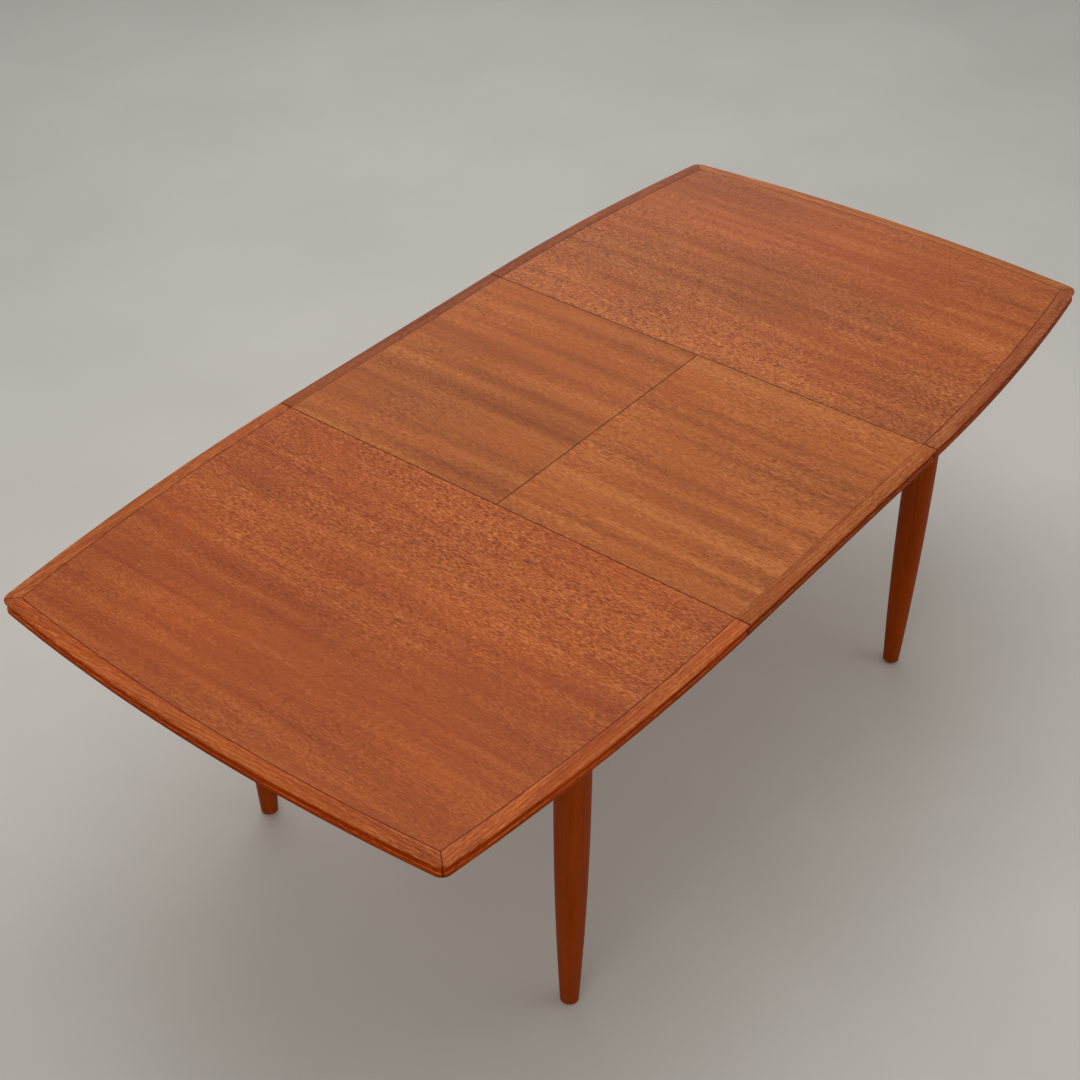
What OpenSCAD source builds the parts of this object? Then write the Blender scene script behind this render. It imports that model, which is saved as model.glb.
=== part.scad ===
// Extending dining table with two sliding end tops and a butterfly leaf between them.
// The table is modelled pulled out, with the leaf laid flat. X runs along the table, Y across
// it and Z up. The origin is on the floor under the middle of the table. "Left" is -X, "right"
// is +X, "front" is -Y and "back" is +Y.

/* [Table] */
// Height of the table from the floor to the top surface
table_h = 740; // [700:5:780]
// Width of the table across its middle
table_w = 996; // [960:2:1040]
// Length of the table when it is pulled out, over the middle of the bowed ends
table_l = 1972; // [1900:2:2040]

/* [Top] */
// Thickness of the end tops and of the leaf
top_t = 24; // [22:0.5:26]
// Thickness of the face veneer
veneer_t = 1; // [0.6:0.1:1.5]
// Length of the leaf between the two end tops
leaf_l = 592; // [560:2:600]
// Radius of the bow in the long sides of each end top
side_bow_r = 4600; // [4300:50:5000]
// Radius of the bow in the two ends of the table
end_bow_r = 3800; // [3400:50:4200]
// Radius of the rounded corners
corner_r = 21; // [14:1:24]
// Width of the solid edge strip along the long sides
side_strip_w = 27; // [25:1:34]
// Width of the solid edge strip along the ends
end_strip_w = 26; // [22:1:30]
// Gap at the seams between the end tops and the leaf halves
seam_gap = 0.5; // [0.4:0.1:0.8]

/* [Legs] */
// Distance from the middle of the table to the leg centres, along the table
leg_x = 557; // [540:1:575]
// Distance from the middle of the table to the leg centres, across the table
leg_y = 360; // [358:1:364]
// Diameter of the leg at its upper end
leg_d = 60; // [56:1:62]
// Diameter of the leg at the floor
foot_d = 32; // [28:1:38]
// Height at which the leg starts to taper
taper_h = 520; // [440:10:560]

/* [Frame] */
// Thickness of the rails
rail_t = 22; // [20:1:24]
// Height of the side and end rails
rail_h = 88; // [84:1:100]
// Height of the runners
runner_h = 40; // [36:1:42]
// Width of the runners
runner_w = 24; // [22:1:24]
// Length of the stretch of each runner that stays inside the frame
runner_tail = 400; // [360:5:440]
// How far the end tops pull past the leaf before the runners meet their stops
over_travel = 40; // [20:5:60]

/* [Leaf pivot] */
// Height of the leaf's pivot below the underside of the leaf
pivot_drop = 12; // [11:0.5:14]
// Diameter of the pivot pins
pivot_pin_d = 8; // [6:0.5:9]

/* [Hidden] */

teak = "#b4633a";
teak_dark = "#8f4a26";
beech = "#cfa878";
chipboard = "#b99a6c";
brass = "#c0a050";
steel = "#9a9a9e";
felt = "#5a5048";
nylon = "#3a3430";

circle_fn = 96;

// Heights
z_top = table_h;
z_under = table_h - top_t;
z_core = table_h - veneer_t;
slide_gap = 0.5;
z_rail = z_under - slide_gap;
z_rail_low = z_rail - rail_h;
z_runner_low = z_under - runner_h;

// Outline of one quarter of the top: the side bow starts square at the seam, the end bow is
// centred on the table, and a small arc joins them
half_w = table_w / 2;
half_l = table_l / 2;
seam_x = leaf_l / 2;
side_c = [seam_x, half_w - side_bow_r];
end_c = [half_l - end_bow_r, 0];

// Where two circles cross, on the right-hand side of the line from a to b
function circles_meet(a, ra, b, rb) =
    let (d = norm(b - a), u = (b - a) / d, t = (ra * ra - rb * rb + d * d) / (2 * d),
         h = sqrt(ra * ra - t * t))
    a + t * u + h * [u.y, -u.x];
function on_circle(c, r, a) = c + r * [cos(a), sin(a)];
// Direction from a to b in degrees
function direction(a, b) = atan2(b.y - a.y, b.x - a.x);

corner_c = circles_meet(side_c, side_bow_r - corner_r, end_c, end_bow_r - corner_r);
field_corner = circles_meet(side_c, side_bow_r - side_strip_w, end_c, end_bow_r - end_strip_w);
side_a = direction(side_c, corner_c);
end_a = direction(end_c, corner_c);
seam_a = 90 - asin(seam_gap / 2 / side_bow_r);
field_side_a = direction(side_c, field_corner);
field_end_a = direction(end_c, field_corner);
tip_a = (side_a + end_a) / 2;
mitre_a = direction(field_corner, on_circle(corner_c, corner_r, tip_a));
side_steps = 22;
end_steps = 15;
corner_steps = 5;

// Edge moulding: a thin lip at the top, a hollow cove, and a bead set back at the bottom.
// Points are [depth inwards from the outermost edge, height above the underside].
arris_r = 2;
lip_h = 2.5;
bead_in = 2;
bead_h = 8;
bead_low_r = 1.5;
bead_top_r = 2;
cove_low = [bead_in + bead_top_r, bead_h];
cove_high = [0, top_t - lip_h];
cove_r = 0.56 * norm(cove_high - cove_low);
cove_c = circles_meet(cove_high, cove_r, cove_low, cove_r);
cove_a = [direction(cove_c, cove_low), direction(cove_c, cove_high)];
cove_steps = 8;

// Legs and their glides
foot_chamfer = 2;
taper_steps = 26;
leg_arris = 2;
glide_d = 22;
glide_h = 3;
glide_stem_d = 7.8;
glide_stem_h = 8;
glide_bore_d = 8;
glide_bore_h = 12;

// Frame: the rails are coped to the round legs, and their tenons end short of the leg's axis
leg_gap = 0.1;
tenon_t = 10;
tenon_reach = 40;
tenon_end = 5;
mortise_play = 0.2;
cheek_play = 0.1;
side_tenon_z = [z_under - 60, z_under - 15];
end_tenon_z = [z_under - 67, z_under - 44];
rail_in_y = leg_y - rail_t / 2;
rail_in_x = leg_x - rail_t / 2;

// The channel between the guides holds two lanes: the left top's runners use the inner lane and
// the right top's runners the outer lane
channel_y = [rail_in_y - 72, rail_in_y - 22];
channel_mid = (channel_y[0] + channel_y[1]) / 2;
inner_lane = channel_y[0] + slide_gap + runner_w / 2;
outer_lane = channel_y[1] - slide_gap - runner_w / 2;
inner_guide_t = 20;
guide_low = z_under - 58;
outer_guide_end = leg_x - 37;
tongue_t = 8;
tongue_h = 7.6;
tongue_z = z_under - 26;
groove_play = 0.35;
notch_play = 0.5;
cross_rail_x = seam_x + 6;

// Notches in the end rails for the runners; the outer one runs out into the cope for the leg
inner_lane_notch = [channel_y[0], channel_mid];
outer_lane_notch = [channel_mid, leg_y - leg_d / 3];

// Small screws in the guides and the pivot brackets
screw_d = 4;
screw_hole_d = 4.1;
screw_clear_d = 4.4;
screw_head_d = 8;
guide_screw_x = [-440, -220, 0, 220, 440];
guide_screw_z = guide_low + 8;
guide_screw_seat = channel_y[1] + 4;
guide_screw_head_h = 3;
guide_screw_bite = 13;

// Corner blocks and leg bolts
block_leg = 75;
block_h = 28;
bolt_z = z_rail_low + block_h / 2;
bolt_d = 8;
bolt_start = 10;
bolt_tail = 14;
washer_d = 22;
washer_t = 2;
nut_d = 15;
nut_h = 6.5;
nut_play = 0.1;
block_face = (leg_x - rail_in_x + leg_y - rail_in_y + block_leg) / sqrt(2);

// Runners, their stops and their screws. A runner's nose is level with the end rail when the
// table is pushed together.
runner_x = [seam_x - runner_tail, rail_in_x + rail_t + seam_x];
runner_nose = 25;
runner_land_in = 4;
peg_d = 10;
peg_x = runner_x[0] + peg_d;
peg_z = [z_under - 54, z_under - 30];
stop_gap = 0.3;
stop_block_x = abs(peg_x) - peg_d / 2 - over_travel - stop_gap;
stop_block_top = z_runner_low - 2;
runner_screw_x = [seam_x + 34, seam_x + 204, seam_x + 374, seam_x + 529];
runner_screw_d = 4.5;
runner_screw_head = [9, 3];
runner_screw_play = 0.5;
screw_seat_z = z_runner_low + 12;
screw_bite = 13;
thread_play = 0.1;

// Leaf pivot: a quarter of the way along the back half, counted from the middle seam
pivot_y = half_w / 4;
pivot_z = z_under - pivot_drop;
bracket_x = [seam_x - 46, seam_x - 6];
bracket_w = 40;
bracket_t = 3;
ear_r = 11;
bush_d = 14;
pin_play = 0.05;
pin_seat_play = 0.02;
pin_head = [pivot_pin_d + 4, 3];
bracket_screw_xy = [[seam_x - 36, -13], [seam_x - 36, 13], [seam_x - 21, 0]];
bracket_screw_head_h = 2.2;

// Middle seam hinges: barrels let into the edges of both leaf halves
hinge_x = [-200, 0, 200];
barrel_d = 14;
barrel_l = 27;
barrel_z = z_top - 11;
barrel_play = 0.05;
fold_z = z_top + 0.15;
finger_t = 2.5;
finger_x = 2.2;
finger_r = [6, 15];
finger_z = [barrel_z - 5.8, barrel_z + 5.8];
finger_slot_play = 0.3;
finger_slot_l = 16;

// Felt dots under the leaf
felt_d = 12;
felt_x = 230;

function play(list, amount) = [list[0] - amount, list[1] + amount];

// Copies a shape drawn at +X and +Y to the side given by the signs
module on_side(sx, sy = 1) {
    mirror([sx < 0 ? 1 : 0, 0, 0]) mirror([0, sy < 0 ? 1 : 0, 0]) children();
}

// A box from its two corners
module box(x, y, z) {
    translate([x[0], y[0], z[0]]) cube([x[1] - x[0], y[1] - y[0], z[1] - z[0]]);
}

module rod_x(d, x, y, z) {
    translate([x[0], y, z]) rotate([0, 90, 0]) cylinder(d = d, h = x[1] - x[0], $fn = circle_fn);
}

module rod_y(d, x, y, z) {
    translate([x, y[0], z]) rotate([-90, 0, 0]) cylinder(d = d, h = y[1] - y[0], $fn = circle_fn);
}

module rod_z(d, x, y, z) {
    translate([x, y, z[0]]) cylinder(d = d, h = z[1] - z[0], $fn = circle_fn);
}

// ---- Tops ----------------------------------------------------------------------------

// Outline of the moulded edge, from the underside up to the top surface
function bead_points() = concat(
    [for (a = [0 : 30 : 90])
        [bead_in + bead_low_r * (1 - sin(a)), bead_low_r * (1 - cos(a))]],
    [for (a = [0 : 30 : 60])
        [bead_in + bead_top_r * (1 - cos(a)), bead_h - bead_top_r * (1 - sin(a))]]);
function cove_points() = [for (i = [0 : cove_steps])
    on_circle(cove_c, cove_r, cove_a[0] + (cove_a[1] - cove_a[0]) * i / cove_steps)];
function arris_points() = [for (a = [0 : 22.5 : 90])
    [arris_r * (1 - cos(a)), top_t - arris_r * (1 - sin(a))]];
edge_points = concat(bead_points(), cove_points(), arris_points());

// A station of an edge strip: the outermost point, the direction outwards in degrees, and the
// point on the line where the strip meets the field
function side_station(t) = [
    on_circle(side_c, side_bow_r, seam_a + (side_a - seam_a) * t),
    seam_a + (side_a - seam_a) * t,
    side_field_point(t)];
function end_station(t) = [
    on_circle(end_c, end_bow_r, end_a * t), end_a * t, end_field_point(t)];
function corner_station(a, turn_a) = [on_circle(corner_c, corner_r, a), turn_a, field_corner];

// Corner stations run from the end of a bow to the mitre
function corner_stations(from_a) = [for (i = [1 : corner_steps])
    corner_station(from_a + (tip_a - from_a) * i / corner_steps,
                   from_a + (mitre_a - from_a) * i / corner_steps)];

function side_field_point(t) =
    on_circle(side_c, side_bow_r - side_strip_w, seam_a + (field_side_a - seam_a) * t);
function end_field_point(t) =
    on_circle(end_c, end_bow_r - end_strip_w, field_end_a * t);

function flip_station(st) = [[st[0].x, -st[0].y], -st[1], [st[2].x, -st[2].y]];
function backwards(list) = [for (i = [len(list) - 1 : -1 : 0]) list[i]];

function side_stations() = concat(
    [for (i = [0 : side_steps]) side_station(i / side_steps)], corner_stations(side_a));
function end_stations() = concat(
    [for (st = backwards(corner_stations(end_a))) flip_station(st)],
    [for (i = [-end_steps : end_steps]) end_station(i / end_steps)], corner_stations(end_a));

// The ring of points that a station puts round the strip
function station_ring(st) = concat(
    [[st[2].x, st[2].y, z_under]],
    [for (p = edge_points)
        [st[0].x - p[0] * cos(st[1]), st[0].y - p[0] * sin(st[1]), z_under + p[1]]],
    [[st[2].x, st[2].y, z_top]]);

// Joins the rings of neighbouring stations into one closed solid
module edge_strip(stations) {
    n = len(edge_points) + 2;
    last = (len(stations) - 1) * n;
    rings = [for (st = stations) each station_ring(st)];
    walls = [for (s = [0 : len(stations) - 2], i = [0 : n - 1])
        let (a = s * n + i, b = s * n + (i + 1) % n)
        each [[a, a + n, b + n], [a, b + n, b]]];
    polyhedron(rings, concat(walls, [[for (i = [0 : n - 1]) i]],
                             [[for (i = [n - 1 : -1 : 0]) last + i]]));
}

// Edge strip along the back long side of the right end top
module side_strip() {
    color(teak) edge_strip(side_stations());
}

// Edge strip along the end of the right end top
module end_strip() {
    color(teak) edge_strip(backwards(end_stations()));
}

// The field inside the edge strips of the right end top, between two heights
module top_field(z) {
    side_line = [for (i = [0 : side_steps]) side_field_point(i / side_steps)];
    end_line = [for (i = [end_steps - 1 : -1 : 1 - end_steps]) end_field_point(i / end_steps)];
    front_line = [for (p = backwards(side_line)) [p.x, -p.y]];
    translate([0, 0, z[0]]) linear_extrude(z[1] - z[0])
        polygon(concat(side_line, end_line, front_line));
}

module top_core(lane) {
    color(chipboard) difference() {
        top_field([z_under, z_core]);
        for (s = [-1, 1], x = runner_screw_x)
            rod_z(runner_screw_d, x, s * lane, [z_under - 1, z_under + screw_bite]);
    }
}

module top_veneer() {
    color(teak) top_field([z_core, z_top]);
}

// ---- Runners -------------------------------------------------------------------------

// Runner of the right end top at the back. groove_side is 1 for a groove on the outer face.
module runner(lane, groove_side) {
    color(beech) difference() {
        union() {
            box(runner_x, [lane - runner_w / 2, lane + runner_w / 2], [z_runner_low, z_rail]);
            box([seam_x + runner_land_in, runner_x[1]], [lane - runner_w / 2, lane + runner_w / 2],
                [z_runner_low, z_under]);
        }
        runner_groove(lane, groove_side);
        for (x = runner_screw_x) {
            rod_z(runner_screw_d + runner_screw_play, x, lane_screw(lane, groove_side),
                  [z_runner_low - 1, z_under + 1]);
            rod_z(runner_screw_head[0] + 2 * runner_screw_play, x,
                  lane_screw(lane, groove_side), [z_runner_low - 1, screw_seat_z]);
        }
        rod_z(peg_d, peg_x, lane_screw(lane, groove_side), [z_runner_low - 1, peg_z[1]]);
        translate([runner_x[1], lane, z_runner_low]) rotate([0, 45, 0])
            cube([runner_nose * sqrt(2), runner_w + 2, runner_nose * sqrt(2)], center = true);
    }
}

// The screws and the peg stand clear of the groove
function lane_screw(lane, groove_side) = lane - groove_side * tongue_t / 2;

module runner_groove(lane, groove_side) {
    bottom = lane + groove_side * (runner_w / 2 - tongue_t - groove_play);
    mouth = lane + groove_side * (runner_w / 2 + 1);
    box(play(runner_x, 1), [min(bottom, mouth), max(bottom, mouth)],
        play([tongue_z - tongue_h / 2, tongue_z + tongue_h / 2], groove_play));
}

module runner_screws(lane, groove_side) {
    color(steel) for (s = [-1, 1], x = runner_screw_x) {
        y = s * lane_screw(lane, groove_side);
        rod_z(runner_screw_d - thread_play, x, y, [screw_seat_z, z_under + screw_bite - 1]);
        rod_z(runner_screw_head[0], x, y, [screw_seat_z - runner_screw_head[1], screw_seat_z]);
    }
}

module stop_pegs(lane, groove_side) {
    color(beech) for (s = [-1, 1])
        rod_z(peg_d, peg_x, s * lane_screw(lane, groove_side), peg_z);
}

// ---- Leaf ----------------------------------------------------------------------------

// Core of the back half of the leaf, with bores for the hinge barrels in its middle edge
module leaf_core() {
    difference() {
        box(leaf_x(), [seam_gap / 2, half_w - side_strip_w], [z_under, z_core]);
        for (x = hinge_x)
            rod_y(barrel_d + 2 * barrel_play, x, [0, barrel_l + barrel_play], barrel_z);
    }
}

function leaf_x() = [seam_gap / 2 - seam_x, seam_x - seam_gap / 2];

module leaf_back_core() {
    color(chipboard) difference() {
        leaf_core();
        for (s = [-1, 1], p = bracket_screw_xy)
            rod_z(screw_hole_d, s * p.x, pivot_y + p.y, [z_under - 1, z_under + screw_bite]);
    }
}

module leaf_veneer() {
    color(teak) box(leaf_x(), [seam_gap / 2, half_w - side_strip_w], [z_core, z_top]);
}

module leaf_strip() {
    color(teak) translate([leaf_x()[0], half_w, z_under]) rotate([90, 0, 90])
        linear_extrude(leaf_x()[1] - leaf_x()[0]) polygon(concat(
            [[-side_strip_w, 0]], [for (p = edge_points) [-p[0], p[1]]], [[-side_strip_w, top_t]]));
}

// Three hinge barrels in the back half. Each has a finger that crosses the seam into a slot
// of the barrel opposite, and a slot for that barrel's finger. finger_side picks which side of
// the barrel its finger is on.
module hinge_barrels(finger_side) {
    color(brass) for (x = hinge_x) {
        difference() {
            rod_y(barrel_d, x, [seam_gap / 2, barrel_l], barrel_z);
            slot_w = finger_t + 2 * finger_slot_play;
            translate([x - finger_side * finger_x - slot_w / 2, -1, barrel_z - barrel_d])
                cube([slot_w, finger_slot_l + 1, 2 * barrel_d]);
        }
        translate([x + finger_side * finger_x, 0, 0]) hinge_finger();
    }
}

// A finger is a slice of a ring about the fold line, so it leaves the slot without touching
module hinge_finger() {
    intersection() {
        difference() {
            rod_x(2 * finger_r[1], [-finger_t / 2, finger_t / 2], 0, fold_z);
            rod_x(2 * finger_r[0], [-finger_t, finger_t], 0, fold_z);
        }
        box([-finger_t, finger_t], [-finger_r[1], seam_gap], finger_z);
    }
}

// ---- Leaf pivot ----------------------------------------------------------------------

module pivot_brackets() {
    color(steel) for (s = [-1, 1]) on_side(s) difference() {
        union() {
            box(bracket_x, [pivot_y - bracket_w / 2, pivot_y + bracket_w / 2],
                [z_under - bracket_t, z_under]);
            box([bracket_x[1] - bracket_t, bracket_x[1]], [pivot_y - ear_r, pivot_y + ear_r],
                [pivot_z, z_under - bracket_t]);
            rod_x(2 * ear_r, [bracket_x[1] - bracket_t, bracket_x[1]], pivot_y, pivot_z);
        }
        for (p = bracket_screw_xy)
            rod_z(screw_clear_d, p.x, pivot_y + p.y, [z_under - bracket_t - 1, z_under + 1]);
        rod_x(pivot_pin_d + 2 * pin_seat_play, play(bracket_x, 1), pivot_y, pivot_z);
    }
}

module pivot_pins() {
    ear_face = bracket_x[1] - bracket_t;
    color(steel) for (s = [-1, 1]) on_side(s) {
        rod_x(pivot_pin_d, [ear_face, cross_rail_x + rail_t], pivot_y, pivot_z);
        rod_x(pin_head[0], [ear_face - pin_head[1], ear_face], pivot_y, pivot_z);
    }
}

module pivot_bushes() {
    color(brass) for (s = [-1, 1]) on_side(s) difference() {
        rod_x(bush_d, [cross_rail_x, cross_rail_x + rail_t], pivot_y, pivot_z);
        rod_x(pivot_pin_d + 2 * pin_play, [cross_rail_x - 1, cross_rail_x + rail_t + 1],
              pivot_y, pivot_z);
    }
}

module pivot_screws() {
    color(steel) for (s = [-1, 1], p = bracket_screw_xy) {
        rod_z(screw_d, s * p.x, pivot_y + p.y, [z_under - bracket_t, z_under + screw_bite - 1]);
        rod_z(screw_head_d, s * p.x, pivot_y + p.y,
              [z_under - bracket_t - bracket_screw_head_h, z_under - bracket_t]);
    }
}

// ---- Frame ---------------------------------------------------------------------------

// Radius of the turned leg at height z: a long bowed taper down to the foot
function leg_radius(z) =
    leg_d / 2 - (leg_d - foot_d) / 2 * pow(max(0, taper_h - z) / taper_h, 2);

module leg() {
    taper_low = glide_h + foot_chamfer;
    heights = [for (i = [0 : taper_steps]) taper_low + (taper_h - taper_low) * i / taper_steps];
    color(teak_dark) difference() {
        translate([leg_x, leg_y, 0]) rotate_extrude($fn = circle_fn) polygon(concat(
            [[0, glide_h], [foot_d / 2 - foot_chamfer, glide_h]],
            [for (z = heights) [leg_radius(z), z]],
            [[leg_d / 2, z_rail - leg_arris], [leg_d / 2 - leg_arris, z_rail], [0, z_rail]]));
        box(mortise_reach(leg_x), mortise_width(leg_y), play(side_tenon_z, mortise_play));
        box(mortise_width(leg_x), mortise_reach(leg_y), play(end_tenon_z, mortise_play));
        leg_bolt_rod(bolt_d, [bolt_start - 1, leg_d]);
        rod_z(glide_bore_d, leg_x, leg_y, [0, glide_bore_h]);
    }
}

function mortise_reach(centre) = [centre - leg_d, centre - tenon_end + mortise_play];
function mortise_width(centre) = play(tenon_width(centre), cheek_play);

module foot_glides() {
    color(nylon) for (sx = [-1, 1], sy = [-1, 1]) {
        rod_z(glide_d, sx * leg_x, sy * leg_y, [0, glide_h]);
        rod_z(glide_stem_d, sx * leg_x, sy * leg_y, [glide_h, glide_h + glide_stem_h]);
    }
}

// Back side rail, coped to the round legs and tenoned into them
module side_rail() {
    color(teak_dark) {
        difference() {
            box([tenon_end - leg_x, leg_x - tenon_end], [rail_in_y, rail_in_y + rail_t],
                [z_rail_low, z_rail]);
            for (s = [-1, 1])
                rod_z(leg_d + 2 * leg_gap, s * leg_x, leg_y, [z_rail_low - 1, z_rail + 1]);
            for (x = guide_screw_x)
                rod_y(screw_hole_d, x, [rail_in_y - 1, rail_in_y + guide_screw_bite + 1],
                      guide_screw_z);
        }
        for (s = [-1, 1]) on_side(s)
            box(tenon_reach_span(leg_x), tenon_width(leg_y), side_tenon_z);
    }
}

function tenon_reach_span(centre) = [centre - tenon_end - tenon_reach, centre - tenon_end];
function tenon_width(centre) = [centre - tenon_t / 2, centre + tenon_t / 2];

// Right end rail with a notch for each runner that passes over it
module end_rail(notch) {
    color(teak_dark) {
        difference() {
            box([rail_in_x, rail_in_x + rail_t], [tenon_end - leg_y, leg_y - tenon_end],
                [z_rail_low, z_rail]);
            for (s = [-1, 1]) on_side(1, s) {
                rod_z(leg_d + 2 * leg_gap, leg_x, leg_y, [z_rail_low - 1, z_rail + 1]);
                box(play([rail_in_x, rail_in_x + rail_t], 1), notch,
                    [z_runner_low - notch_play, z_rail + 1]);
            }
        }
        for (s = [-1, 1]) on_side(1, s)
            box(tenon_width(leg_x), tenon_reach_span(leg_y), end_tenon_z);
    }
}

// Right cross rail: one end wall of the well under the leaf, and the seat of the pivot bush
module cross_rail() {
    color(beech) difference() {
        box([cross_rail_x, cross_rail_x + rail_t],
            [inner_guide_t - channel_y[0], channel_y[0] - inner_guide_t], [guide_low, z_rail]);
        rod_x(bush_d, [cross_rail_x - 1, cross_rail_x + rail_t + 1], pivot_y, pivot_z);
    }
}

// Back inner guide: side wall of the well, with a tongue for the inner runner's groove
module inner_guide() {
    color(beech) union() {
        box([-rail_in_x, rail_in_x], [channel_y[0] - inner_guide_t, channel_y[0]],
            [guide_low, z_rail]);
        box([-rail_in_x, rail_in_x], [channel_y[0] - 1, channel_y[0] + tongue_t],
            [tongue_z - tongue_h / 2, tongue_z + tongue_h / 2]);
    }
}

// Back outer guide, screwed to the side rail, with a tongue for the outer runner's groove
module outer_guide() {
    color(beech) difference() {
        union() {
            box([-outer_guide_end, outer_guide_end], [channel_y[1], rail_in_y],
                [guide_low, z_rail]);
            box([-outer_guide_end, outer_guide_end], [channel_y[1] - tongue_t, channel_y[1] + 1],
                [tongue_z - tongue_h / 2, tongue_z + tongue_h / 2]);
        }
        for (x = guide_screw_x) {
            rod_y(screw_clear_d, x, [channel_y[1] - 1, rail_in_y + 1], guide_screw_z);
            rod_y(screw_head_d + 2 * cheek_play, x, [channel_y[1] - 1, guide_screw_seat],
                  guide_screw_z);
        }
    }
}

module guide_screws() {
    color(steel) for (s = [-1, 1], x = guide_screw_x) on_side(1, s) {
        rod_y(screw_d, x, [guide_screw_seat, rail_in_y + guide_screw_bite], guide_screw_z);
        rod_y(screw_head_d, x, [guide_screw_seat - guide_screw_head_h, guide_screw_seat],
              guide_screw_z);
    }
}

// Block across the back runner channel that the stop pegs meet
module stop_block() {
    color(beech) box([-stop_block_x, stop_block_x], channel_y, [guide_low, stop_block_top]);
}

// Three-cornered blocks behind the legs
module corner_blocks() {
    color(beech) for (sx = [-1, 1], sy = [-1, 1]) on_side(sx, sy) difference() {
        translate([rail_in_x, rail_in_y, z_rail_low]) linear_extrude(block_h)
            polygon([[0, 0], [-block_leg, 0], [0, -block_leg]]);
        rod_z(leg_d + 2 * leg_gap, leg_x, leg_y, [z_rail_low - 1, z_rail]);
        leg_bolt_rod(bolt_d + 1, [0, 2 * block_face]);
    }
}

// A rod from the back right leg's axis towards the middle of the table
module leg_bolt_rod(d, reach, sides = circle_fn) {
    translate([leg_x, leg_y, bolt_z]) rotate([0, 0, 225]) translate([reach[0], 0, 0])
        rotate([0, 90, 0]) cylinder(d = d, h = reach[1] - reach[0], $fn = sides);
}

module leg_bolts() {
    color(steel) for (sx = [-1, 1], sy = [-1, 1]) on_side(sx, sy)
        leg_bolt_rod(bolt_d, [bolt_start, block_face + bolt_tail]);
}

module leg_nuts() {
    washer_face = block_face + washer_t;
    color(steel) for (sx = [-1, 1], sy = [-1, 1]) on_side(sx, sy) difference() {
        union() {
            leg_bolt_rod(washer_d, [block_face, washer_face]);
            leg_bolt_rod(nut_d, [washer_face, washer_face + nut_h], 6);
        }
        leg_bolt_rod(bolt_d + nut_play, [block_face - 1, washer_face + nut_h + 1]);
    }
}

// Felt dots on the side rails that the leaf lies on
module felt_pads() {
    color(felt) for (sx = [-1, 1], sy = [-1, 1])
        rod_z(felt_d, sx * felt_x, sy * leg_y, [z_rail, z_under]);
}

// ---- Assembly ------------------------------------------------------------------------

on_side(-1, -1) leg();  // leg_front_left
on_side(1, -1) leg();  // leg_front_right
on_side(-1, 1) leg();  // leg_back_left
on_side(1, 1) leg();  // leg_back_right
foot_glides();
on_side(1, -1) side_rail();  // side_rail_front
side_rail();  // side_rail_back
on_side(-1) end_rail(inner_lane_notch);  // end_rail_left
end_rail(outer_lane_notch);  // end_rail_right
on_side(-1) cross_rail();  // cross_rail_left
cross_rail();  // cross_rail_right
on_side(1, -1) inner_guide();  // inner_guide_front
inner_guide();  // inner_guide_back
on_side(1, -1) outer_guide();  // outer_guide_front
outer_guide();  // outer_guide_back
on_side(1, -1) stop_block();  // stop_block_front
stop_block();  // stop_block_back
corner_blocks();
leg_bolts();
leg_nuts();
guide_screws();
pivot_bushes();
felt_pads();

top_core(lane_screw(outer_lane, 1));  // right_top_core
top_veneer();  // right_top_veneer
end_strip();  // right_end_strip
on_side(1, -1) side_strip();  // right_front_strip
side_strip();  // right_back_strip
on_side(1, -1) runner(outer_lane, 1);  // right_runner_front
runner(outer_lane, 1);  // right_runner_back
runner_screws(outer_lane, 1);  // right_runner_screws
stop_pegs(outer_lane, 1);  // right_stop_pegs

on_side(-1) top_core(lane_screw(inner_lane, -1));  // left_top_core
on_side(-1) top_veneer();  // left_top_veneer
on_side(-1) end_strip();  // left_end_strip
on_side(-1, -1) side_strip();  // left_front_strip
on_side(-1) side_strip();  // left_back_strip
on_side(-1, -1) runner(inner_lane, -1);  // left_runner_front
on_side(-1) runner(inner_lane, -1);  // left_runner_back
on_side(-1) runner_screws(inner_lane, -1);  // left_runner_screws
on_side(-1) stop_pegs(inner_lane, -1);  // left_stop_pegs

leaf_back_core();
leaf_veneer();  // leaf_back_veneer
leaf_strip();  // leaf_back_strip
hinge_barrels(1);  // leaf_back_hinges
pivot_brackets();
pivot_pins();
pivot_screws();
on_side(1, -1) color(chipboard) leaf_core();  // leaf_front_core
on_side(1, -1) leaf_veneer();  // leaf_front_veneer
on_side(1, -1) leaf_strip();  // leaf_front_strip
on_side(1, -1) hinge_barrels(-1);  // leaf_front_hinges
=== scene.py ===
"""An extending dining table in oiled teak: finishes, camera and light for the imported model."""
import math

import bpy
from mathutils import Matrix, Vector


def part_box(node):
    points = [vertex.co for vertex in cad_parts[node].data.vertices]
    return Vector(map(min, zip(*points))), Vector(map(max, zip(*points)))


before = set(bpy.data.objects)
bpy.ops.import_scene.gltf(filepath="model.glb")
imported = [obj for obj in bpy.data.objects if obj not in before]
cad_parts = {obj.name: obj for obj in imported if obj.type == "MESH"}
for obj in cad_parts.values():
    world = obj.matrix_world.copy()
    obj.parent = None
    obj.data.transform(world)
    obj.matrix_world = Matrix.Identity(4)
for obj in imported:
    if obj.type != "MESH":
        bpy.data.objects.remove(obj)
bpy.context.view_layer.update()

# The view: where the camera looks, from how far, and from which side.
AIM = Vector((-0.327, -0.116, 0.740))
DISTANCE = 2.908
AZIMUTH = math.radians(-51.96)
ELEVATION = math.radians(37.72)
LENS_MM = 60.12
SENSOR_MM = 36.0
CLIP_END = 60.0

MM = 0.001


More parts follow.
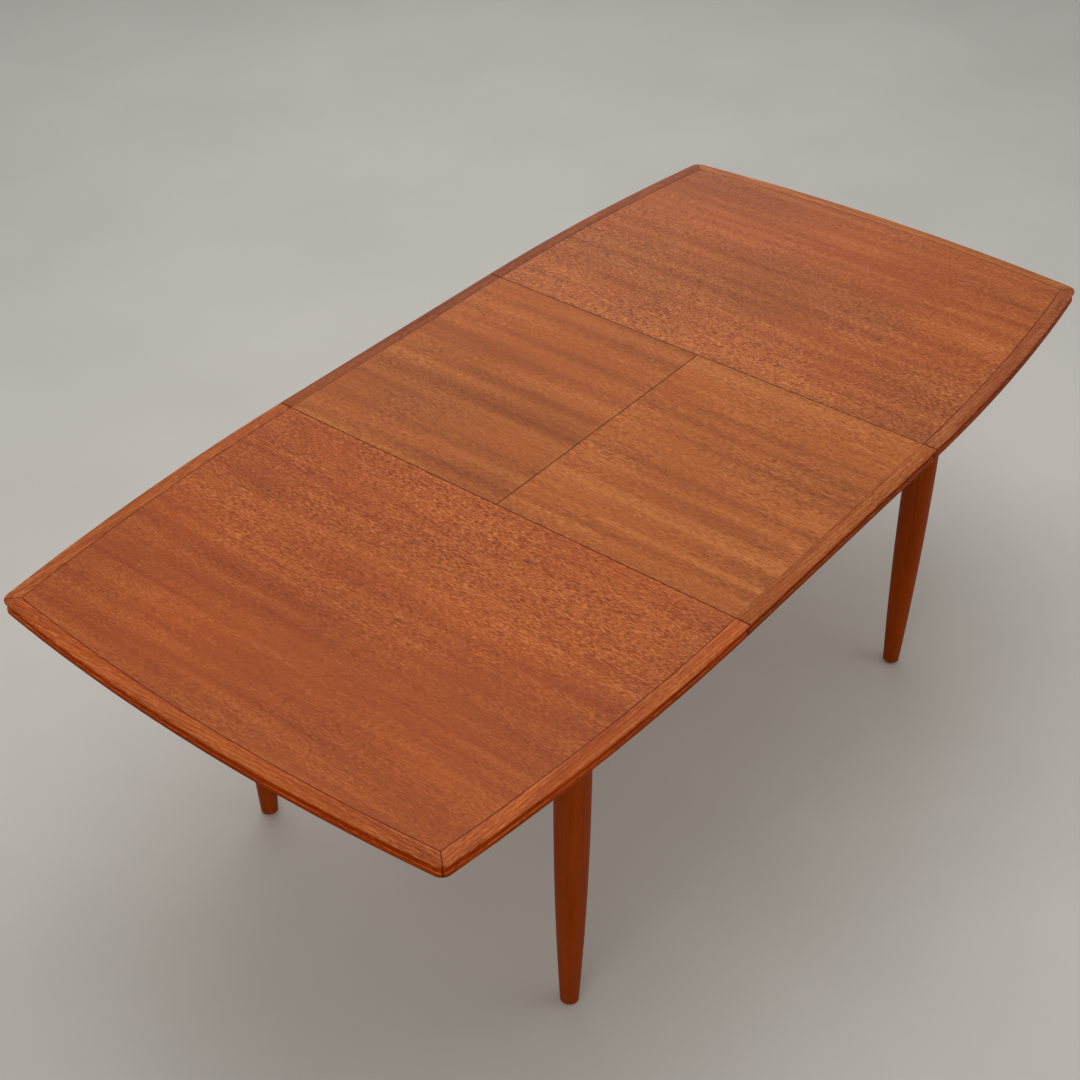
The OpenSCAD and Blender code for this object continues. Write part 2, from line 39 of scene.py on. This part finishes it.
def hex_colour(code):
    """A #rrggbb colour as the linear RGBA that shaders use."""
    channels = [int(code[i:i + 2], 16) / 255 for i in (1, 3, 5)]
    linear = [c / 12.92 if c <= 0.04045 else ((c + 0.055) / 1.055) ** 2.4 for c in channels]
    return (*linear, 1.0)


# ---------------------------------------------------------------- shader building

WAVE_PERIOD = 0.31416  # of the wave texture at a scale of 1


class Shader:
    """One material's node tree, with a short call for each kind of node."""

    def __init__(self, name):
        self.material = bpy.data.materials.new(name)
        self.material.use_nodes = True
        self.tree = self.material.node_tree
        self.surface = self.tree.nodes["Principled BSDF"]

    def feed(self, socket, value):
        """Links another node's output, or sets a plain value."""
        if isinstance(value, bpy.types.NodeSocket):
            self.tree.links.new(value, socket)
        else:
            socket.default_value = value

    def add(self, kind, inputs, **settings):
        node = self.tree.nodes.new("ShaderNode" + kind)
        for name, value in settings.items():
            setattr(node, name, value)
        for key, value in inputs.items():
            self.feed(node.inputs[key], value)
        return node

    def set(self, **inputs):
        """Sets the surface's own inputs; underscores stand for spaces."""
        for name, value in inputs.items():
            self.feed(self.surface.inputs[name.replace("_", " ")], value)

    def math(self, operation, a, b=0.0):
        return self.add("Math", {0: a, 1: b}, operation=operation).outputs[0]

    def multiply(self, a, b):
        return self.math("MULTIPLY", a, b)

    def subtract(self, a, b):
        return self.math("SUBTRACT", a, b)

    def ramp(self, factor, stops):
        """A colour ramp; stops are (position, colour) or (position, grey)."""
        node = self.add("ValToRGB", {0: factor})
        elements = node.color_ramp.elements
        while len(elements) < len(stops):
            elements.new(0.5)
        for element, (position, value) in zip(elements, stops):
            element.position = position
            element.color = value if isinstance(value, tuple) else (value, value, value, 1.0)
        return node.outputs[0]

    def mix(self, factor, a, b, blend="MIX"):
        node = self.add("Mix", {0: factor, 6: a, 7: b}, data_type="RGBA", blend_type=blend)
        return node.outputs[2]

    def place(self, order="XYZ", shift=(0.0, 0.0, 0.0)):
        """The piece's own coordinates in metres, in the given order of axes, plus a shift."""
        coordinates = self.add("TexCoord", {}).outputs["Object"]
        parts = self.add("SeparateXYZ", {0: coordinates})
        ordered = self.add("CombineXYZ", {i: parts.outputs[axis] for i, axis in enumerate(order)})
        return self.moved(ordered.outputs[0], shift)

    def coordinate(self, axis):
        """One of the piece's own coordinates in metres."""
        return self.add("SeparateXYZ", {0: self.place()}).outputs[axis]

    def from_middle(self, axis):
        """The distance from the middle of the table along an axis."""
        return self.math("ABSOLUTE", self.coordinate(axis))

    def moved(self, place, shift):
        return self.add("VectorMath", {0: place, 1: shift}, operation="ADD").outputs[0]

    def noise(self, place, size, detail=2.0, roughness=0.5, distortion=0.0):
        """Noise whose features measure size, in metres, one number an axis or one for all."""
        size = size if isinstance(size, tuple) else (size, size, size)
        scaled = self.add("Mapping", {"Vector": place, "Scale": tuple(1 / s for s in size)})
        return self.add("TexNoise", {
            "Vector": scaled.outputs[0], "Scale": 1.0, "Detail": detail,
            "Roughness": roughness, "Distortion": distortion}).outputs["Fac"]

    def sway(self, place, size, amount):
        """The place pushed about by soft noise, which makes straight patterns wander."""
        scaled = self.add("Mapping", {"Vector": place, "Scale": tuple(1 / s for s in size)})
        noise = self.add("TexNoise", {"Vector": scaled.outputs[0], "Scale": 1.0, "Detail": 1.0})
        centred = self.add("VectorMath", {0: noise.outputs["Color"], 1: (0.5, 0.5, 0.5)},
                           operation="SUBTRACT")
        push = self.add("VectorMath", {0: centred.outputs[0], 1: (amount, amount, 0.0)},
                        operation="MULTIPLY")
        return self.moved(place, push.outputs[0])

    def rings(self, place, spacing, pith, tilt, wander=2.0):
        """Growth rings around an axis a little off the grain; far from it they run straight."""
        scale = WAVE_PERIOD / spacing
        turned = self.add("Mapping", {
            "Vector": self.moved(place, pith), "Rotation": (*tilt, 0.0), "Scale": (scale,) * 3})
        return self.add("TexWave", {
            "Vector": turned.outputs[0], "Scale": 1.0, "Distortion": wander, "Detail": 2.0,
            "Detail Scale": 0.35, "Detail Roughness": 0.5},
            wave_type="RINGS", rings_direction="Z", wave_profile="SAW").outputs["Fac"]

    def relief(self, height, depth, strength=1.0):
        bump = self.add("Bump", {"Height": height, "Distance": depth, "Strength": strength})
        self.set(Normal=bump.outputs[0])


# ---------------------------------------------------------------- wood

GRAIN_ORDER = {"X": "YZX", "Y": "XZY", "Z": "XYZ"}

# A look is a set of three tones, and how much each pattern in the wood counts towards them.
# band, fleck and fibre are (share, width, length); spread is how far the tones reach.
TEAK_TOP = {
    "dark": "#702808", "mid": "#a44e1b", "light": "#d38346",
    "band": (0.09, 0.024, 0.50), "fleck": (0.58, 0.0010, 0.0085), "fibre": (0.15, 0.0007, 0.020),
    "spread": 0.120, "pore": 0.50, "ring": 0.0, "rough": 0.42, "gloss": 0.26,
}
TEAK_LEAF = {
    "dark": "#73350f", "mid": "#a3541f", "light": "#c47b42",
    "band": (0.17, 0.034, 0.90), "fleck": (0.52, 0.0010, 0.0100), "fibre": (0.15, 0.0007, 0.040),
    "spread": 0.120, "pore": 0.35, "ring": 0.0, "rough": 0.44, "gloss": 0.26,
}
TEAK_EDGE = {
    "dark": "#762e08", "mid": "#b05a2b", "light": "#d48a56",
    "band": (0.12, 0.012, 0.30), "fleck": (0.36, 0.0010, 0.0120), "fibre": (0.30, 0.0007, 0.040),
    "spread": 0.130, "pore": 0.35, "ring": 0.85, "rough": 0.40, "gloss": 0.16,
}
# Teak of the legs and rails: its own dark red-brown, darkened further as painted shade for the
# shade beneath the table top.
TEAK_LEG = {
    "dark": "#722803", "mid": "#8d3704", "light": "#9d4207",
    "band": (0.16, 0.009, 0.60), "fleck": (0.20, 0.0016, 0.022), "fibre": (0.24, 0.0008, 0.070),
    "spread": 0.150, "pore": 0.30, "ring": 0.06, "rough": 0.46, "gloss": 0.05,
}
BEECH = {
    "dark": "#ab7d50", "mid": "#c59a69", "light": "#d8b482",
    "band": (0.40, 0.014, 0.70), "fleck": (0.35, 0.0012, 0.005), "fibre": (0.25, 0.0008, 0.050),
    "spread": 0.130, "pore": 0.25, "ring": 0.20, "rough": 0.55, "gloss": 0.20,
}

# No two boards are quite the same tone.
BOARD_TINT = {
    "left_top_veneer": (0.97, 0.86, 0.72), "right_top_veneer": (0.95, 0.96, 0.98),
    "leaf_front_veneer": (1.06, 1.02, 1.00), "leaf_back_veneer": (1.00, 0.98, 0.98),
    "left_end_strip": (0.95, 0.75, 0.45), "right_end_strip": (0.97, 1.10, 1.06),
    "left_front_strip": (1.02, 0.86, 0.62), "left_back_strip": (0.98, 0.90, 0.76),
    "leaf_front_strip": (0.90, 0.86, 0.66), "leaf_back_strip": (0.64, 0.58, 0.52),
    "right_front_strip": (0.74, 0.72, 0.76), "right_back_strip": (0.62, 0.54, 0.42),
}
# The strength of each veneer's grain at the seam and at the far end of an end top.
VIVID = {"left_top_veneer": (1.25, 0.42), "right_top_veneer": (1.25, 0.60),
         "leaf_front_veneer": (1.0, 1.0), "leaf_back_veneer": (0.75, 0.75)}
PLAIN = (1.0, 1.0)
SEAM_TO_END = (0.36, 0.75)  # between these distances from the middle the strength changes

# Sizes are across the grain twice, then along it, in metres.
SWAY_SIZE = (0.10, 0.10, 0.45)
SWAY = 0.010
FIGURE_SIZE = (0.16, 0.16, 0.30)
PATCH_SIZE = (0.22, 0.22, 0.40)
PORE_SIZE = (0.9 * MM, 0.9 * MM, 10 * MM)
PORE_SHIFT = (3.1, 5.2, 1.3)  # keeps the pores apart from the flecks
BOARD_SHIFT = (1.7, 0.9, 2.3)  # from one board to the next through the patterns

GRAIN_NOISE = (2.0, 0.55, 0.15)  # detail, roughness and distortion
CONTRAST = 1.6
LIVELY_SPOTS = [(0.35, 0.50), (0.65, 1.0)]
PATCH_TONES = [(0.3, 0.86), (0.7, 1.08)]
PORE_SPOTS = [(0.58, 0.0), (0.66, 1.0)]
PORE_ROUGHNESS = 0.3
ROUGH_SPAN = ((0.4, -0.04), (0.8, 0.14))  # added to the look's roughness, by grain value
PORE_DEPTH = 0.07 * MM
GRAIN_RELIEF = 0.8  # height of the grain as a share of the pores' depth

RING_SPACING = 6 * MM
PITH = (0.020, 0.055)  # sets the ring axis off sideways, at most, and down, after BOARD_SHIFT
RING_TILT = (0.075, 0.06)  # of that axis, in radians, the first at most
LATE_WOOD = [(0.76, 0.0), (0.94, 1.0), (0.98, 0.0)]  # dark for the last part of a ring
# Specular tint: a painted warm reflection, as if the finish reflected a brown floor
PAINTED_WARM_REFLECTION = (1.0, 0.72, 0.50, 1.0)


def grain_strength(s, place, vivid):
    """Where the flecks and fibres are lively and where the wood is plain."""
    strength = s.ramp(s.noise(place, FIGURE_SIZE, detail=1.0), LIVELY_SPOTS)
    if vivid != PLAIN:
        halves = [v / 2 for v in vivid]  # a ramp's grey is kept below 1
        lively = s.ramp(s.from_middle("X"), list(zip(SEAM_TO_END, halves)))
        strength = s.multiply(s.multiply(strength, lively), 2.0)
    return strength


def grain_value(s, place, look, strength):
    """Bands, flecks and fibres added up to one value around a half."""
    value = 0.5
    for part in ("band", "fleck", "fibre"):
        share, width, length = look[part]
        pattern = s.noise(place, (width, width, length), *GRAIN_NOISE)
        swing = s.multiply(s.subtract(pattern, 0.5), CONTRAST * share)
        if part != "band":
            swing = s.multiply(swing, strength)
        value = s.math("ADD", swing, value)
    return value


def late_wood(s, place, seed):
    """The thin dark lines where growth rings meet the surface."""
    side, below = PITH
    tilt, lean = RING_TILT
    rings = s.rings(place, RING_SPACING, (side * math.sin(seed), below, 0.0),
                    (tilt * math.cos(seed * 2.1), lean))
    return s.ramp(rings, LATE_WOOD)


def open_pores(s, place):
    specks = s.noise(s.moved(place, PORE_SHIFT), PORE_SIZE, detail=2.0, distortion=0.2)
    return s.ramp(specks, PORE_SPOTS)


def wood(name, look, grain, seed, tint=None, vivid=PLAIN, moulding=None, joints=()):
    """Wood with its grain along one axis.

    The tint is the board's own, vivid the strength of its grain, moulding the heights of its
    moulded edge, and joints the lines that cross it.
    """
    s = Shader(name)
    straight = s.place(GRAIN_ORDER[grain], tuple(step * seed for step in BOARD_SHIFT))
    wandering = s.sway(straight, SWAY_SIZE, SWAY)
    dark, mid, light = (hex_colour(look[tone]) for tone in ("dark", "mid", "light"))

    value = grain_value(s, wandering, look, grain_strength(s, straight, vivid))
    spread = look["spread"]
    colour = s.ramp(value, [(0.5 - spread, dark), (0.5, mid), (0.5 + spread, light)])
    if look["ring"]:
        colour = s.mix(s.multiply(late_wood(s, straight, seed), look["ring"]), colour, dark)
    pores = open_pores(s, wandering)
    colour = s.mix(s.multiply(pores, look["pore"]), colour, dark)

    patches = s.ramp(s.noise(straight, PATCH_SIZE, detail=2.0), PATCH_TONES)
    colour = s.mix(1.0, colour, patches, "MULTIPLY")
    if tint:
        colour = s.mix(1.0, colour, (*tint, 1.0), "MULTIPLY")
    gloss = look["gloss"]
    if moulding:
        # painted shade in the hollow of the moulded edge and a painted highlight on its bead
        colour = s.mix(1.0, colour, painted_moulding_light(s, *moulding), "MULTIPLY")
        gloss = s.multiply(gloss, moulding_gloss(s, *moulding))
    for line in joints:
        colour = s.mix(line(s), colour, JOINT_TONE, "MULTIPLY")

    rough = s.ramp(s.math("ADD", value, s.multiply(pores, PORE_ROUGHNESS)),
                   [(at, look["rough"] + more) for at, more in ROUGH_SPAN])
    # the specular tint paints a warm reflection over the wood
    s.set(Base_Color=colour, Roughness=rough, Specular_IOR_Level=gloss, Specular_Tint=PAINTED_WARM_REFLECTION)
    s.relief(s.subtract(s.multiply(value, GRAIN_RELIEF), pores), PORE_DEPTH)
    return s.material


# Painted shade and highlight down the moulded edge, darkest in the hollow and on the bead's lower
# face, brightest on the bead's top: (share of the height from the top, red, green, blue)
MOULDING_SHADE_AND_HIGHLIGHT = ((0.00, 1.00, 1.00, 1.00), (0.05, 0.90, 0.86, 0.80), (0.10, 0.84, 0.54, 0.22),
            (0.16, 0.88, 0.50, 0.02), (0.64, 0.84, 0.45, 0.02), (0.675, 1.60, 1.40, 1.10),
            (0.705, 0.95, 0.66, 0.35), (0.74, 0.72, 0.42, 0.10), (1.00, 0.60, 0.35, 0.05))
# Sheen down the moulded edge: dull in the hollow, less on the face of the bead.
MOULDING_GLOSS = [(0.06, 1.0), (0.12, 0.1), (0.60, 0.1), (0.68, 0.6), (0.80, 0.2)]


def share_down(s, low, top):
    """How far down from the top a point lies, 0 at the top and 1 at the bottom."""
    return s.multiply(s.subtract(top, s.coordinate("Z")), 1 / (top - low))


def painted_moulding_light(s, low, top):
    """Painted shade in the hollow of the moulded edge and on the face of the bead, with a painted
    highlight along the bead's top.
    """
    return s.ramp(share_down(s, low, top), [(share, (*tone, 1.0)) for share, *tone in MOULDING_SHADE_AND_HIGHLIGHT])


def moulding_gloss(s, low, top):
    return s.ramp(share_down(s, low, top), MOULDING_GLOSS)


# ---------------------------------------------------------------- joints between the boards

JOINT_TONE = (0.30, 0.14, 0.07, 1.0)
JOINT_HALF_WIDTH = 0.8 * MM
SEAM_HALF_WIDTH = 1.4 * MM
SEAM_IN_VENEER = 0.7 * MM
TOP_FACE = 0.1 * MM  # vertices this near to the top count as on it

# seam_line, bowed_line and mitre_line each return a function. It takes a shader and gives 1 on
# the line and 0 off it.


def near(s, distance, half_width):
    """1 where the distance is small, 0 beyond twice the half width, and soft between."""
    share = s.multiply(s.math("ABSOLUTE", distance), 1 / (2 * half_width))
    return s.ramp(share, [(0.25, 1.0), (1.0, 0.0)])


def seam_line(axis, at, half_width):
    """A dark line along a straight seam, at one distance from the middle along the axis."""
    def line(s):
        return near(s, s.subtract(s.from_middle(axis), at), half_width)
    return line


def circle_through(a, b, c):
    """Centre and radius of the circle through three points in the plane."""
    d = 2 * (a.x * (b.y - c.y) + b.x * (c.y - a.y) + c.x * (a.y - b.y))
    aa, bb, cc = a.length_squared, b.length_squared, c.length_squared
    centre = Vector(((aa * (b.y - c.y) + bb * (c.y - a.y) + cc * (a.y - b.y)) / d,
                     (aa * (c.x - b.x) + bb * (a.x - c.x) + cc * (b.x - a.x)) / d))
    return centre, (centre - a).length


def bowed_line(end, corner, mirrored):
    """Glue line along a bow, from end, its middle, to corner; mirrored is its other corner."""
    centre, radius = circle_through(end, corner, mirrored)

    def line(s):
        x, y = s.from_middle("X"), s.from_middle("Y")
        flat = s.add("CombineXYZ", {0: x, 1: y}).outputs[0]
        away = s.add("VectorMath", {0: flat, 1: (*centre, 0.0)}, operation="DISTANCE")
        on_line = near(s, s.subtract(away.outputs["Value"], radius), JOINT_HALF_WIDTH)
        before_corner = (y, corner.y) if end.y == 0 else (x, corner.x)
        return s.multiply(on_line, s.math("LESS_THAN", *before_corner))
    return line


def mitre_line(corner, tip):
    """Glue line of the mitre, from the field's corner out to the rounded corner's tip."""
    way = (tip - corner).normalized()

    def line(s):
        x, y = s.from_middle("X"), s.from_middle("Y")
        side = s.subtract(s.multiply(s.subtract(x, corner.x), way.y),
                          s.multiply(s.subtract(y, corner.y), way.x))
        beyond = s.math("GREATER_THAN", x, corner.x)
        return s.multiply(near(s, side, JOINT_HALF_WIDTH), beyond)
    return line


def top_points(node_name):
    """Where a board's vertices lie on its top face, seen from above."""
    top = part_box(node_name)[1].z
    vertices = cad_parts[node_name].data.vertices
    return [v.co.xy for v in vertices if v.co.z > top - TOP_FACE]


def find_joints():
    """The lines to draw on each kind of board, placed from the CAD."""
    low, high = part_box("right_top_veneer")
    seam_x = low.x
    corner = max(top_points("right_top_veneer"), key=lambda v: v.x + v.y)
    tip = max(top_points("right_end_strip"), key=lambda v: v.y)
    end = Vector((high.x, 0.0))
    side = Vector((seam_x, high.y))
    seam = seam_line("X", seam_x, SEAM_HALF_WIDTH)
    fine_seam = seam_line("X", seam_x, SEAM_IN_VENEER)
    around_field = [bowed_line(end, corner, Vector((corner.x, -corner.y))),
                    bowed_line(side, corner, Vector((2 * seam_x - corner.x, corner.y))),
                    mitre_line(corner, tip)]
    return {"top_veneer": [fine_seam], "leaf_strip": [seam], "top_strip": [seam, *around_field],
            "leaf_veneer": [fine_seam, seam_line("Y", 0.0, SEAM_IN_VENEER)]}


def glue_line(name, pale_from=None):
    """The dark line along a veneer's eased edge; beyond |y| = pale_from it hardly shows."""
    s = Shader(name)
    speckle = s.noise(s.place(), 3 * MM, detail=3.0)
    colour = s.ramp(speckle, [(0.3, hex_colour("#2c0608")), (0.7, hex_colour("#4c1210"))])
    if pale_from:
        beyond = s.math("GREATER_THAN", s.from_middle("Y"), pale_from)
        colour = s.mix(beyond, colour, hex_colour("#86431f"))
    s.set(Base_Color=colour, Roughness=s.ramp(speckle, [(0.2, 0.55), (0.8, 0.75)]),
          Specular_IOR_Level=0.1)
    return s.material


# ---------------------------------------------------------------- metal, plastic and felt

TARNISH = 0.62  # brightness of the dull spots


def metal(name, code, rough, seed):
    """Drawn or turned metal with faint tool marks and a few dull spots."""
    s = Shader(name)
    place = s.place(shift=(seed, 0.0, 0.0))
    marks = s.noise(place, (0.25 * MM, 0.25 * MM, 2 * MM), detail=2.0)
    dull = s.noise(place, 6 * MM, detail=4.0, roughness=0.65)
    base = hex_colour(code)
    tarnish = tuple(channel * TARNISH for channel in base[:3]) + (1.0,)
    s.set(Metallic=1.0,
          Base_Color=s.ramp(dull, [(0.35, tarnish), (0.6, base)]),
          Roughness=s.ramp(dull, [(0.3, rough + 0.18), (0.7, rough)]))
    s.relief(marks, 0.02 * MM, 0.5)
    return s.material


def nylon(name):
    """Moulded plastic, dulled where it slides on the floor."""
    s = Shader(name)
    grain = s.noise(s.place(), 0.6 * MM, detail=3.0)
    scuffs = s.noise(s.place(), (4 * MM, 4 * MM, 1 * MM), detail=4.0)
    s.set(Base_Color=s.ramp(scuffs, [(0.35, hex_colour("#2b2522")), (0.7, hex_colour("#3d3530"))]),
          Roughness=s.ramp(scuffs, [(0.3, 0.42), (0.7, 0.6)]))
    s.relief(grain, 0.05 * MM, 0.6)
    return s.material


def felt(name):
    """Short matted hairs."""
    s = Shader(name)
    hairs = s.noise(s.place(), (0.2 * MM, 0.9 * MM, 0.2 * MM), detail=4.0, distortion=2.0)
    s.set(Base_Color=s.ramp(hairs, [(0.3, hex_colour("#3f372f")), (0.7, hex_colour("#6d6156"))]),
          Roughness=1.0, Sheen_Weight=0.5, Sheen_Roughness=0.5)
    s.relief(hairs, 0.2 * MM)
    return s.material


# ---------------------------------------------------------------- which finish goes where

WOODS = {
    "top_veneer_teak": TEAK_TOP, "leaf_veneer_teak": TEAK_LEAF, "edge_teak": TEAK_EDGE,
    "leg_teak": TEAK_LEG, "rail_teak": TEAK_LEG, "frame_beech": BEECH, "core_board": BEECH,
}
GRAIN_ACROSS = ("veneer", "core", "end_strip", "end_rail", "cross_rail")
GRAIN_UPRIGHT = ("leg_front", "leg_back", "stop_pegs")


def grain_of(node_name):
    """The axis that a board's grain runs along."""
    if any(part in node_name for part in GRAIN_ACROSS):
        return "Y"
    if any(part in node_name for part in GRAIN_UPRIGHT):
        return "Z"
    return "X"


def finish_of(node_name, slot, seed, joints):
    """The material for one CAD node, from the slot that model.glb gives it."""
    name = slot + "." + node_name
    if slot in WOODS:
        low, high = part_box(node_name)
        moulding = (low.z, high.z) if slot == "edge_teak" else None
        part = "leaf" if "leaf" in node_name else "top"
        board = part + "_" + node_name.split("_")[-1]
        return wood(name, WOODS[slot], grain_of(node_name), seed, BOARD_TINT.get(node_name),
                    VIVID.get(node_name, PLAIN), moulding, joints.get(board, ()))
    if slot == "brass_fittings":
        return metal(name, "#c9a35a", 0.28, seed)
    if slot == "steel_fittings":
        return metal(name, "#a9aaad", 0.34, seed)
    return {"glide_nylon": nylon, "felt": felt}[slot](name)


# ---------------------------------------------------------------- eased edges

EASE_MM = {"veneer": 0.6, "strip": 0.3, "core": 0.3, "screws": 0.15, "hinges": 0.2, "pads": 0.1,
           "glides": 0.4, "bushes": 0.2, "pins": 0.2, "nuts": 0.2, "bolts": 0.2}
EASE_DEFAULT_MM = 0.8
SHARP = math.radians(32)  # edges sharper than this are eased
FLAT = math.radians(0.5)  # facets flatter than this are one face
SAME_POINT = 0.01 * MM
LARGE_FACE_WEIGHT = 80  # how strongly large faces hold the shading flat


def ease_edges(node, width, line_material=None):
    """Takes the knife edge off a CAD node with modifiers, and colours it as a line if asked."""
    weld = node.modifiers.new("weld", "WELD")
    weld.merge_threshold = SAME_POINT
    flat = node.modifiers.new("flat", "DECIMATE")
    flat.decimate_type = "DISSOLVE"
    flat.angle_limit = FLAT
    ease = node.modifiers.new("ease", "BEVEL")
    ease.width = width
    ease.segments = 2
    ease.limit_method = "ANGLE"
    ease.angle_limit = SHARP
    if line_material:
        node.data.materials.append(line_material)
        ease.material = 1
    shade = node.modifiers.new("shade", "WEIGHTED_NORMAL")
    shade.weight = LARGE_FACE_WEIGHT


def dress_frame():
    """Gives every CAD node its finish and its eased edges."""
    field_edge = abs(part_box("leaf_front_veneer")[0].y)
    leaf_line = glue_line("glue_line_leaf", field_edge - 1 * MM)
    dark_line = glue_line("glue_line_top")
    lines = {"top_veneer": dark_line, "leaf_back_veneer": leaf_line, "leaf_front_veneer": leaf_line}
    joints = find_joints()
    for seed, (name, node) in enumerate(sorted(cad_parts.items())):
        slot = node.material_slots[0].material.name
        node.material_slots[0].material = finish_of(name, slot, seed, joints)
        width = next((w for part, w in EASE_MM.items() if part in name), EASE_DEFAULT_MM)
        line = next((m for part, m in lines.items() if part in name), None)
        ease_edges(node, width * MM, line)


# ---------------------------------------------------------------- stage

FLOOR_REACH = 30.0


def make_floor():
    mesh = bpy.data.meshes.new("studio_floor")
    corners = ((-1, -1), (1, -1), (1, 1), (-1, 1))
    mesh.from_pydata([(x * FLOOR_REACH, y * FLOOR_REACH, 0) for x, y in corners],
                     [], [(0, 1, 2, 3)])
    floor = bpy.data.objects.new("studio_floor", mesh)
    bpy.context.scene.collection.objects.link(floor)
    s = Shader("studio_floor")
    mottle = s.noise(s.place(), 0.5, detail=3.0)
    s.set(Base_Color=s.ramp(mottle, [(0.3, hex_colour("#c9c6c1")), (0.7, hex_colour("#cfccc7"))]),
          Roughness=0.7)
    mesh.materials.append(s.material)


WARM_WHITE = (1.0, 0.985, 0.96)
WORLD_STRENGTH = 0.42
# (name, place, the point it faces, size, watts, colour)
LIGHTS = (
    ("overhead", (0.4, 0.4, 3.2), (0, 0, 0.7), (3.2, 2.4), 46, WARM_WHITE),
    ("window", (-3.4, -1.2, 2.2), (0, 0, 0.6), (2.2, 2.0), 24, (1.0, 0.98, 0.95)),
    ("far_wall", (3.0, 2.8, 1.9), (0, 0, 0.7), (3.6, 1.8), 16, (1.0, 1.0, 1.0)),
    ("room", (1.8, -3.4, 1.2), (0, 0, 0.5), (2.4, 1.6), 14, WARM_WHITE),
)


def soft_light(name, place, aim, size, watts, colour):
    data = bpy.data.lights.new(name, "AREA")
    data.shape = "RECTANGLE"
    data.size, data.size_y = size
    data.energy = watts
    data.color = colour
    light = bpy.data.objects.new(name, data)
    light.location = place
    light.rotation_euler = (Vector(aim) - Vector(place)).to_track_quat("-Z", "Y").to_euler()
    bpy.context.scene.collection.objects.link(light)


def make_light():
    world = bpy.data.worlds.new("studio")
    world.use_nodes = True
    background = world.node_tree.nodes["Background"]
    background.inputs["Color"].default_value = (*WARM_WHITE, 1.0)
    background.inputs["Strength"].default_value = WORLD_STRENGTH
    bpy.context.scene.world = world
    for light in LIGHTS:
        soft_light(*light)


def make_camera():
    data = bpy.data.cameras.new("camera")
    data.lens = LENS_MM
    data.sensor_width = SENSOR_MM
    data.clip_end = CLIP_END
    camera = bpy.data.objects.new("camera", data)
    back = Vector((math.sin(AZIMUTH) * math.cos(ELEVATION),
                   -math.cos(AZIMUTH) * math.cos(ELEVATION),
                   math.sin(ELEVATION)))
    camera.location = AIM + back * DISTANCE
    camera.rotation_euler = (-back).to_track_quat("-Z", "Y").to_euler()
    bpy.context.scene.collection.objects.link(camera)
    bpy.context.scene.camera = camera
    bpy.context.scene.view_settings.view_transform = "Standard"


dress_frame()
make_floor()
make_light()
make_camera()
